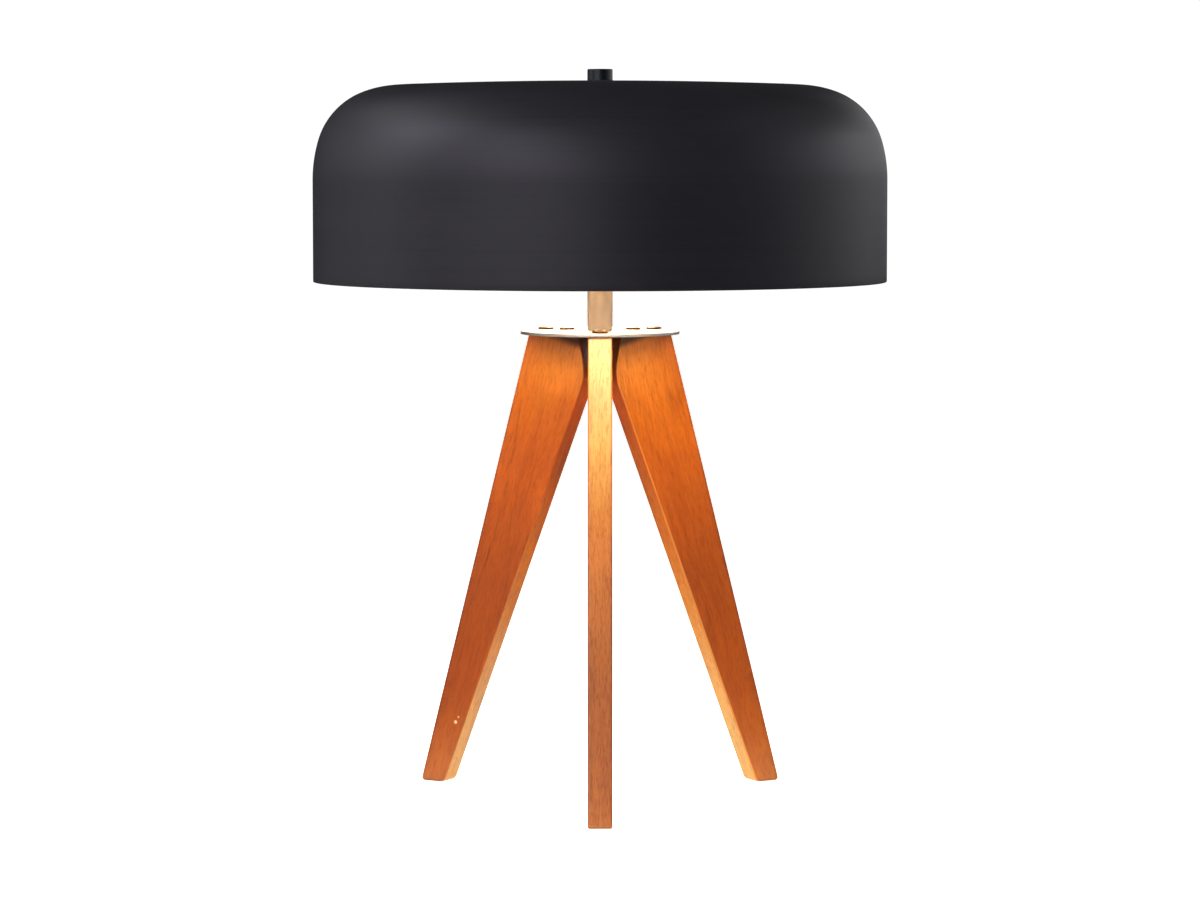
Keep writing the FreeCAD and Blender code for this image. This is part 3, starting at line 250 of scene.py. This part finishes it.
    # a few thin dark grain lines: (distance from the outer edge, bow, half width, from, to, strength) in metres
    broken = w.range(w.noise(w.mapped(board, scale=(30, 30, 70)), 1.0, 3.0, 0.6), 0.38, 0.58, 0.25, 1.0, smooth=True)
    for at, bow, half, start, end, deep in lines:
        run = w.range(t, start, end, -1.0, 1.0)
        middle = w.math("SUBTRACT", at + bow, w.math("MULTIPLY", w.math("MULTIPLY", run, run), bow))
        gap = w.math("ABSOLUTE", w.math("SUBTRACT", w.math("ADD", u, w.math("MULTIPLY", sway, 0.10)), middle))
        near = w.range(gap, half * 0.3, half, 1.0, 0.0, smooth=True)
        ends = w.range(w.math("ABSOLUTE", run), 0.8, 1.0, 1.0, 0.0, smooth=True)
        mark = w.math("MULTIPLY", w.math("MULTIPLY", near, ends), w.math("MULTIPLY", broken, deep))
        colour = w.mix(mark, colour, (0.11, 0.024, 0.006))
        height = w.math("SUBTRACT", height, mark)
    for centre, size, deep in marks:
        d = w.vmath("LENGTH", w.vmath("SUBTRACT", w.object, centre), out=1)
        spot = w.range(d, size * 0.45, size, 1.0, 0.0, smooth=True)
        colour = w.mix(w.math("MULTIPLY", spot, deep), colour, (0.95, 0.72, 0.36))
        height = w.math("SUBTRACT", height, w.math("MULTIPLY", spot, 6.0 * deep))
    # painted highlight: the inner eased edges are painted lighter where light catches them
    face = w.tree.nodes.new("ShaderNodeNewGeometry").outputs["Normal"]
    if edge_highlight:
        to_side = w.vmath("DOT_PRODUCT", face, tuple(side), out=1)
        inward = w.vmath("DOT_PRODUCT", face, tuple(-across), out=1)
        edge = w.math("MULTIPLY", w.range(w.math("ABSOLUTE", to_side), 0.30, 0.50, 0.0, 1.0, smooth=True),
                      w.range(inward, 0.15, 0.35, 0.0, 1.0, smooth=True))
        colour = w.mix(w.math("MULTIPLY", edge, edge_highlight), colour, (0.95, 0.42, 0.09))
    # painted shade: a painted shadow of the plate across the top of the broad faces, a painted contact shadow along the
    # top of the narrow edges under the plate, and darker along the bottom of each foot
    plate_shadow = w.range(w.math("ADD", up, w.math("MULTIPLY", u, 0.28)), 0.3515, 0.3572, 0.0, 0.93, smooth=True)
    plate_shadow = w.math("MULTIPLY", plate_shadow, w.math("SUBTRACT", 1.0, narrow))
    contact_shadow = w.math("MULTIPLY", w.range(up, 0.3506, 0.3516, 0.0, 0.75, smooth=True), narrow)
    foot = w.range(up, 0.0008, 0.0022, 0.65, 0.0, smooth=True)
    foot = w.math("MULTIPLY", foot, w.range(w.split(face)[2], -0.9, -0.6, 0.12, 1.0))
    for dark in (plate_shadow, contact_shadow, foot):
        colour = w.mix(dark, colour, (0.036, 0.012, 0.008))
    # the inner edges are left unpolished close under the plate
    dull = w.math("MULTIPLY", narrow, w.range(u, 0.004, 0.006, 0.0, 1.0))
    dull = w.math("MULTIPLY", dull, w.range(up, 0.322, 0.340, 0.0, 1.0, smooth=True))
    w.set(Base_Color=colour, Roughness=rough, IOR=1.5, Coat_Weight=0.25, Coat_Roughness=0.22,
          Specular_IOR_Level=w.range(dull, 0.0, 1.0, 0.5, 0.05), Normal=w.bump(height, 0.00012, 0.5))
    return w


wear(wood("wood_front", -90.0, 1.0), "leg_front")
wear(wood("wood_left", 150.0, 2.0, (0.89, 0.86, 0.66), patches=[((-0.0338, 0.0091, 0.2690), 0.050, (0.84, 0.80, 0.84))], lines=[
    (0.0045, 0.0085, 0.0014, 0.095, 0.285, 0.36), (0.0110, 0.0006, 0.0011, 0.136, 0.163, 0.45),
], marks=[((-0.1119, 0.0542, 0.0479), 0.0018, 0.9), ((-0.1096, 0.0529, 0.0520), 0.0010, 0.8), ((-0.0103, 0.0010, 0.3165), 0.0013, 0.5)]), "leg_left")
wear(wood("wood_right", 30.0, 3.0, (1.10, 1.18, 1.06), edge_highlight=0.55, patches=[
    ((0.0599, 0.0242, 0.3032), 0.014, (0.86, 0.80, 0.80)), ((0.0560, 0.0222, 0.3340), 0.036, (0.80, 0.72, 0.66)),
]), "leg_right")


# ---- metals ----------------------------------------------------------------
def satin(name, colour, rough, turned=True, lines=700.0, spin="z", metal=1.0, relief=0.5, foot=None, sides=None):
    """Satin metal: fine turning lines round its axis, and slight clouding. foot = (height, colour) darkens
    what is below it, a painted shade line; sides = the share of the colour left on the front and back, as painted shade
    that dims the middle of the tube."""
    s = Look(name, Metallic=metal)
    x, y, z = s.split(s.object)
    if spin == "y":
        y, z = z, y
    r = s.math("SQRT", s.math("ADD", s.math("MULTIPLY", x, x), s.math("MULTIPLY", y, y)))
    rings = s.noise(s.join(s.math("MULTIPLY", r, lines * 2.0), s.math("MULTIPLY", z, lines * 2.0), 0.0), 1.0, 3.0, 0.6)
    cloud = s.noise(s.mapped(scale=(45, 45, 45)), 1.0, 3.0, 0.5)
    hair = s.noise(s.mapped(scale=(320, 320, 320)), 1.0, 2.0, 0.5)
    tint = s.math("ADD", s.math("MULTIPLY", cloud, 0.6), s.math("MULTIPLY", hair, 0.4))
    dark = tuple(c * 0.86 for c in colour)
    light = tuple(min(1.0, c * 1.08) for c in colour)
    base = s.ramp(tint, [(0.3, dark), (0.7, light)])
    # painted shade below the given height: a dark line along the lower edge of a screw head
    if foot:
        base = s.mix(s.range(s.split(s.object)[2], foot[0], foot[0] + 0.0003, 1.0, 0.0, smooth=True), base, foot[1])
    # painted shade: the front and back of the tube are darkened
    if sides:
        facing = s.math("DIVIDE", s.math("MULTIPLY", y, y), s.math("MULTIPLY", r, r))
        base = s.mix(s.range(facing, 0.55, 1.0, 0.0, 1.0 - sides), base, (0.0, 0.0, 0.0))
    s.set(Base_Color=base,
          Roughness=s.range(rings, 0.3, 0.7, rough - 0.04, rough + 0.05),
          Normal=s.bump(rings, 0.00001, relief))
    return s


NICKEL = (0.73, 0.69, 0.63)
plate = satin("plate_satin", (0.48, 0.52, 0.58), 0.40, lines=900.0)
stem = satin("stem_satin", (0.215, 0.190, 0.168), 0.42, lines=1200.0, metal=0.55, relief=0.15, sides=0.54)
zinc = satin("zinc_plate", (0.66, 0.66, 0.62), 0.42)
holder = satin("holder_plate", (0.74, 0.70, 0.62), 0.30, spin="y")
brass = satin("brass_plain", (0.80, 0.60, 0.26), 0.28, spin="y")
alloy = satin("cap_alloy", (0.80, 0.80, 0.79), 0.30, spin="y")
solder = satin("solder_grey", (0.55, 0.55, 0.53), 0.45)
wire = satin("wire_grey", (0.50, 0.47, 0.42), 0.35)
screws = satin("screw_satin", (0.40, 0.40, 0.37), 0.34, foot=(0.3554, (0.018, 0.010, 0.006)))
screws.set(Specular_Tint=(0.45, 0.38, 0.30))
wear(plate, "top_plate")
wear(stem, "stem_tube", "spacer_tube", "shade_seat", "cluster_body", "cluster_cap")
wear(screws, "leg_screws", "cap_screws")
wear(zinc, "lamp_pipe", "upper_pipe", "holder_nipples", "pipe_nut", "cluster_nut", "cap_nuts", "nipple_nuts", "lock_washer",
     "terminal_screws_front", "terminal_screws_back")
wear(holder, "holder_cap_front", "holder_cap_back", "holder_shell_front", "holder_shell_back")
wear(brass, "screw_shell_front", "screw_shell_back", "centre_contact_front", "centre_contact_back")
wear(alloy, "bulb_cap_front", "bulb_cap_back")
wear(solder, "bulb_contact_front", "bulb_contact_back")
wear(wire, "filament_front", "filament_back")


# ---- mouldings -------------------------------------------------------------
def moulded(name, colour, rough, grain=900.0, depth=0.00002):
    s = Look(name)
    cloud = s.noise(s.mapped(scale=(60, 60, 60)), 1.0, 3.0, 0.5)
    pits = s.noise(s.mapped(scale=(grain, grain, grain)), 1.0, 3.0, 0.6)
    dark = tuple(c * 0.82 for c in colour)
    light = tuple(min(1.0, c * 1.15) for c in colour)
    s.set(Base_Color=s.ramp(cloud, [(0.3, dark), (0.7, light)]),
          Roughness=s.range(pits, 0.3, 0.7, rough - 0.05, rough + 0.06),
          Normal=s.bump(pits, depth, 0.5))
    return s


black = moulded("black_moulding", (0.016, 0.016, 0.017), 0.36)
ivory = moulded("ivory_moulding", (0.74, 0.70, 0.62), 0.40)
fibre_grey = moulded("fibre_grey", (0.10, 0.10, 0.105), 0.70)
card = moulded("card_brown", (0.42, 0.31, 0.19), 0.80)
wear(black, "switch_knob_front", "switch_knob_back", "holder_body_front", "holder_body_back", "cord_bushing",
     "bulb_insulator_front", "bulb_insulator_back")
wear(ivory, "splices", "leads_front", "leads_back")
wear(fibre_grey, "seat_washer", "finial_washer")
wear(card, "holder_liner_front", "holder_liner_back")


# ---- bulbs -----------------------------------------------------------------
GLOW = (1.0, 0.64, 0.36)
BULB_POWER = 94.0


def opal(name, sign):
    """Opal glass lit from inside: brightest round the middle of the ball, dimmer towards its neck."""
    o = Look(name)
    x, y, z = o.split(o.object)
    reach = o.range(o.math("MULTIPLY", y, sign), 0.086, 0.118, 0.55, 1.0, smooth=True)
    cloud = o.noise(o.mapped(scale=(40, 40, 40)), 1.0, 2.0, 0.5)
    glow = o.math("MULTIPLY", reach, o.range(cloud, 0.3, 0.7, 0.95, 1.05))
    # seen directly, the glass is kept just under clipping, so that the ball keeps its form
    seen = o.node("ShaderNodeLightPath").outputs["Is Camera Ray"]
    facing = o.node("ShaderNodeLayerWeight", {"Blend": 0.35}).outputs["Facing"]
    soft = o.math("MULTIPLY", glow, o.range(facing, 0.0, 1.0, 0.98, 0.62))
    strength = o.node("ShaderNodeMix", {0: seen, 2: o.math("MULTIPLY", glow, BULB_POWER), 3: soft}, data_type="FLOAT").outputs[0]
    body = o.ramp(cloud, [(0.3, (0.86, 0.84, 0.79)), (0.7, (0.92, 0.90, 0.86))])
    o.set(Base_Color=o.mix(seen, body, o.mix(1.0, body, (0.13, 0.13, 0.10), "MULTIPLY")),
          Roughness=0.22, IOR=1.5, Emission_Color=(*GLOW, 1.0), Emission_Strength=strength)
    return o


wear(opal("opal_glass_front", -1.0), "bulb_glass_front")
wear(opal("opal_glass_back", 1.0), "bulb_glass_back")
glass = Look("clear_glass", Base_Color=(0.97, 0.98, 0.98), Roughness=0.04, IOR=1.5, Transmission_Weight=1.0)
seeds = glass.noise(glass.mapped(scale=(300, 300, 300)), 1.0, 2.0, 0.5)
glass.set(Normal=glass.bump(seeds, 0.00002, 0.3))
wear(glass, "bulb_stem_front", "bulb_stem_back")


# ---- shade -----------------------------------------------------------------
def shade_profile():
    """Outer line of the shade from its hole to the rim, then the inner line back: (radius, height, inside) in metres."""
    wall = 0.0012
    W, A, B, C, D = 0.2160, 0.1051, 0.0555, 0.0794, 3.9228
    land_r, land_z, low_z, top_r, rim = 0.0240, 0.5415, 0.4974, 0.1785, 0.3911
    dz = land_z - math.sqrt(D * D - land_r ** 2)
    phi = 0.29
    for _ in range(200):
        bx = W - A + (A - B) * math.cos(phi)
        tb = math.asin((top_r - bx) / B)
        tc = math.asin((bx - (C - B) * math.sin(tb)) / (D - C))
        bz = dz + (D - C) * math.cos(tc) + (C - B) * math.cos(tb)
        phi = math.asin((low_z - bz) / B)
    az = bz - (A - B) * math.sin(phi)
    cx, cz = (D - C) * math.sin(tc), dz + (D - C) * math.cos(tc)
    td = math.asin(land_r / D)

    def arc(x, z, r, a, b, n):
        return [(x + r * math.sin(a + (b - a) * i / n), z + r * math.cos(a + (b - a) * i / n)) for i in range(n + 1)]

    def line_for(off):
        q = math.pi / 2
        pts = arc(0.0, dz, D - off, td, tc, 10)
        pts += arc(cx, cz, C - off, tc, tb, 18)[1:]
        pts += arc(bx, bz, B - off, tb, q - phi, 24)[1:]
        pts += arc(W - A, az, A - off, q - phi, q, 16)[1:]
        return pts

    outer = [(0.0053, land_z), (0.0056, land_z + 0.0)] + [(0.0053 + (land_r - 0.0053) * k / 4, land_z) for k in (1, 2, 3)]
    outer += line_for(0.0)
    top_wall = outer[-1][1]
    lip = 0.0008
    n = 14
    outer += [(W, top_wall + (rim + lip - top_wall) * k / n) for k in range(1, n + 1)]
    # rolled edge: half round under the doubled wall
    low = [(W - lip + lip * math.cos(t), rim + lip - lip * math.sin(t)) for t in [math.pi / 2 * k / 6 for k in range(1, 7)]]
    hem_in = W - 2 * wall
    low += [(hem_in + lip - lip * math.sin(t), rim + lip - lip * math.cos(t)) for t in [math.pi / 2 * k / 6 for k in range(0, 7)]]
    hem = [(hem_in, rim + 0.0024), (hem_in, rim + 0.0044), (hem_in + 0.0003, rim + 0.0049), (W - wall, rim + 0.0050)]
    inner_line = line_for(wall)[::-1]
    inner = [(W - wall, rim + 0.0050 + (inner_line[0][1] - rim - 0.0050) * k / n) for k in range(1, n)]
    inner += inner_line
    inner += [(0.0053 + (land_r - 0.0053) * k / 4, land_z - wall) for k in (3, 2, 1)] + [(0.0053, land_z - wall)]
    path = [(r, z, 0) for r, z in outer + low]
    path += [(r, z, 1) for r, z in hem + inner]
    return path


def lathe(name, path, steps, looks):
    """Turns a path of (radius, height, look) round Z into one closed ring of faces."""
    verts, faces, kinds = [], [], []
    n = len(path)
    for k in range(steps):
        c, s = math.cos(2 * math.pi * k / steps), math.sin(2 * math.pi * k / steps)
        verts += [(r * c, r * s, z) for r, z, _ in path]
    for k in range(steps):
        a, b = k * n, (k + 1) % steps * n
        for i in range(n):
            j = (i + 1) % n
            faces.append((a + i, b + i, b + j, a + j))
            kinds.append(path[j][2])
    mesh = bpy.data.meshes.new(name)
    mesh.from_pydata(verts, [], faces)
    for look in looks:
        mesh.materials.append(look.mat)
    mesh.polygons.foreach_set("material_index", kinds)
    bm = bmesh.new()
    bm.from_mesh(mesh)
    bmesh.ops.recalc_face_normals(bm, faces=bm.faces)
    for f in bm.faces:
        f.smooth = True
    for e in bm.edges:
        if len(e.link_faces) == 2 and e.calc_face_angle(0.0) > math.radians(40):
            e.smooth = False
    bm.to_mesh(mesh)
    bm.free()
    obj = bpy.data.objects.new(name, mesh)
    scene.collection.objects.link(obj)
    return obj


def powder_coat(name, colour, rough):
    """Matte powder coat over spun metal: orange peel and faint spinning rings."""
    p = Look(name)
    x, y, z = p.split(p.object)
    r = p.math("SQRT", p.math("ADD", p.math("MULTIPLY", x, x), p.math("MULTIPLY", y, y)))
    rings = p.noise(p.join(p.math("MULTIPLY", r, 420.0), p.math("MULTIPLY", z, 420.0),
                           p.math("MULTIPLY", p.noise(p.mapped(scale=(7, 7, 7)), 1.0, 1.0), 1.5)), 1.0, 4.0, 0.6)
    broad = p.noise(p.join(p.math("MULTIPLY", r, 70.0), p.math("MULTIPLY", z, 70.0), 0.0), 1.0, 2.0, 0.5)
    peel = p.noise(p.mapped(scale=(1500, 1500, 1500)), 1.0, 2.0, 0.55)
    grit = p.noise(p.mapped(scale=(4200, 4200, 4200)), 1.0, 1.0, 0.5)
    cloud = p.noise(p.mapped(scale=(9, 9, 14)), 1.0, 4.0, 0.6)
    tone = p.math("ADD", p.math("MULTIPLY", cloud, 0.55), p.math("MULTIPLY", rings, 0.45))
    dark = tuple(c * 0.80 for c in colour)
    light = tuple(c * 1.22 for c in colour)
    height = p.math("ADD", p.math("MULTIPLY", peel, 0.6), p.math("MULTIPLY", grit, 0.4))
    height = p.math("ADD", height, p.math("MULTIPLY", rings, 0.35))
    height = p.math("ADD", height, p.math("MULTIPLY", broad, 0.5))
    p.set(Base_Color=p.ramp(tone, [(0.3, dark), (0.7, light)]),
          Roughness=p.range(tone, 0.3, 0.7, rough - 0.03, rough + 0.04), IOR=1.5,
          Normal=p.bump(height, 0.00004, 0.5))
    return p


LINING_SEEN = 0.22
coat_black = powder_coat("coat_black", (0.0260, 0.0248, 0.0310), 0.48)
coat_black.set(Specular_Tint=(0.88, 0.84, 1.0), IOR=1.53)
coat_white = powder_coat("coat_white", (0.80, 0.79, 0.76), 0.46)
# the lit lining would clip to plain white: seen directly it is held back, so that its curve and hem stay visible
lining = coat_white.shader.inputs["Base Color"].links[0].from_socket
held = coat_white.node("ShaderNodeLightPath").outputs["Is Camera Ray"]
coat_white.set(Base_Color=coat_white.mix(held, lining, coat_white.mix(1.0, lining, (LINING_SEEN, LINING_SEEN, LINING_SEEN), "MULTIPLY")))
shade = lathe("shade_shell", shade_profile(), 288, [coat_black, coat_white])
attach(shade, "shade")
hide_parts("shade")

finial_black = powder_coat("finial_satin", (0.0095, 0.0105, 0.0150), 0.40)
finial_black.set(Specular_Tint=(0.84, 0.88, 1.0))
wear(finial_black, "finial")


# ---- floor, backdrop and studio light ---------------------------------------
POOL = 1.4


def build_floor():
    mesh = bpy.data.meshes.new("floor")
    n, size = 64, 9.0
    verts = [(0.0, 0.0, 0.0)] + [(size * math.cos(2 * math.pi * k / n), size * math.sin(2 * math.pi * k / n), 0.0) for k in range(n)]
    mesh.from_pydata(verts, [], [(0, k + 1, (k + 1) % n + 1) for k in range(n)])
    obj = bpy.data.objects.new("floor", mesh)
    scene.collection.objects.link(obj)
    f = Look("floor_pale", Base_Color=(0.80, 0.80, 0.80), Roughness=0.85)
    grain = f.noise(f.mapped(scale=(3, 3, 3)), 1.0, 2.0)
    f.set(Base_Color=f.ramp(grain, [(0.3, (0.78, 0.78, 0.78)), (0.7, (0.82, 0.82, 0.82))]))
    # overexposed like the studio sweep behind the lamp, so only a trace of the feet's shade is left
    glow = f.node("ShaderNodeEmission", {"Color": (1, 1, 1, 1), "Strength": 0.985})
    lit = f.node("ShaderNodeAddShader", {0: f.shader.outputs[0], 1: glow.outputs[0]})
    # light coming back off the floor: a plain diffuse bounce, plus a warm glow painted into the floor round the feet
    # that stands in for the pool of the lamp's light
    x, y, z = f.split(f.object)
    r = f.math("SQRT", f.math("ADD", f.math("MULTIPLY", x, x), f.math("MULTIPLY", y, y)))
    pool = f.math("MULTIPLY", f.range(r, 0.05, 0.12, 0.0, 1.0, smooth=True), f.range(r, 0.20, 0.28, 1.0, 0.0, smooth=True))
    bounce = f.node("ShaderNodeBsdfDiffuse", {"Color": (0.32, 0.32, 0.32, 1)})
    warm = f.node("ShaderNodeEmission", {"Color": (1.0, 0.88, 0.60, 1), "Strength": f.math("MULTIPLY", pool, POOL)})
    dim = f.node("ShaderNodeAddShader", {0: bounce.outputs[0], 1: warm.outputs[0]})
    path = f.node("ShaderNodeLightPath")
    seen = f.node("ShaderNodeMixShader", {0: path.outputs["Is Camera Ray"], 1: dim.outputs[0], 2: lit.outputs[0]})
    clear = f.node("ShaderNodeBsdfTransparent")
    back = f.node("ShaderNodeNewGeometry").outputs["Backfacing"]
    whole = f.node("ShaderNodeMixShader", {0: back, 1: seen.outputs[0], 2: clear.outputs[0]})
    f.tree.links.new(whole.outputs[0], f.out.inputs[0])
    mesh.materials.append(f.mat)


build_floor()

world = bpy.data.worlds.new("studio")
world.use_nodes = True
scene.world = world
wt = world.node_tree
wt.nodes.clear()
w_out = wt.nodes.new("ShaderNodeOutputWorld")
w_seen = wt.nodes.new("ShaderNodeBackground")
w_light = wt.nodes.new("ShaderNodeBackground")
w_path = wt.nodes.new("ShaderNodeLightPath")
w_mix = wt.nodes.new("ShaderNodeMixShader")
w_seen.inputs["Color"].default_value = (1, 1, 1, 1)
w_seen.inputs["Strength"].default_value = 1.05
w_light.inputs["Color"].default_value = (0.95, 0.97, 1.0, 1)
w_light.inputs["Strength"].default_value = 0.02
wt.links.new(w_path.outputs["Is Camera Ray"], w_mix.inputs[0])
wt.links.new(w_light.outputs[0], w_mix.inputs[1])
wt.links.new(w_seen.outputs[0], w_mix.inputs[2])
wt.links.new(w_mix.outputs[0], w_out.inputs[0])


def softbox(name, place, aim, size, power, colour=(1.0, 1.0, 1.0)):
    data = bpy.data.lights.new(name, "AREA")
    data.shape = "RECTANGLE"
    data.size, data.size_y = size
    data.energy = power
    data.color = colour
    obj = bpy.data.objects.new(name, data)
    obj.location = place
    obj.rotation_euler = (Vector(aim) - Vector(place)).to_track_quat("-Z", "Y").to_euler()
    obj.visible_camera = False
    scene.collection.objects.link(obj)
    return obj


# softboxes stand round the lamp at (elevation, azimuth) in degrees, azimuth 0 being the front, each with its watts
REACH, MIDDLE = 2.8, Vector((0.0, 0.0, 0.42))
LIGHTS = {
    "front_left_low": (12, -15, 9.0),
    "left_low": (12, -40, 6.8),
    "left_side": (12, -90, 6.6),
    "left_rim": (12, -120, 1.7),
    "right_low": (12, 65, 1.4),
    "right_side": (12, 90, 5.0),
    "right_rim": (12, 120, 8.7),
    "back_right": (12, 150, 3.8),
    "left_high": (31, -35, 10.3),
    "left_side_high": (34, -83, 18.0),
    "left_rim_high": (42, -120, 4.7),
    "right_rim_high": (42, 120, 1.0),
    "right_side_high": (42, 75, 1.8),
}
for name, (elevation, azimuth, power) in LIGHTS.items():
    e, a = math.radians(elevation), math.radians(azimuth)
    place = Vector((math.sin(a) * math.cos(e), -math.cos(a) * math.cos(e), math.sin(e))) * REACH + Vector((0, 0, 0.4))
    softbox(name, place, MIDDLE, (1.3, 0.34 if name in ("front_left_low", "left_low") else 1.1), power)
# two narrow kickers from low down lift the boards under the plate, which shades them from the softboxes
for name, azimuth, power in (("kicker_left", -30, 0.0045), ("kicker_right", 30, 0.0044)):
    e, a = math.radians(-7), math.radians(azimuth)
    aim = Vector((0.018 * math.copysign(1, azimuth), 0.0, 0.330))
    place = aim + 1.5 * Vector((math.sin(a) * math.cos(e), -math.cos(a) * math.cos(e), math.sin(e)))
    kicker = softbox(name, place, aim, (0.05, 0.04), power, (1.0, 0.80, 0.55))
    kicker.data.spread = math.radians(3.6)
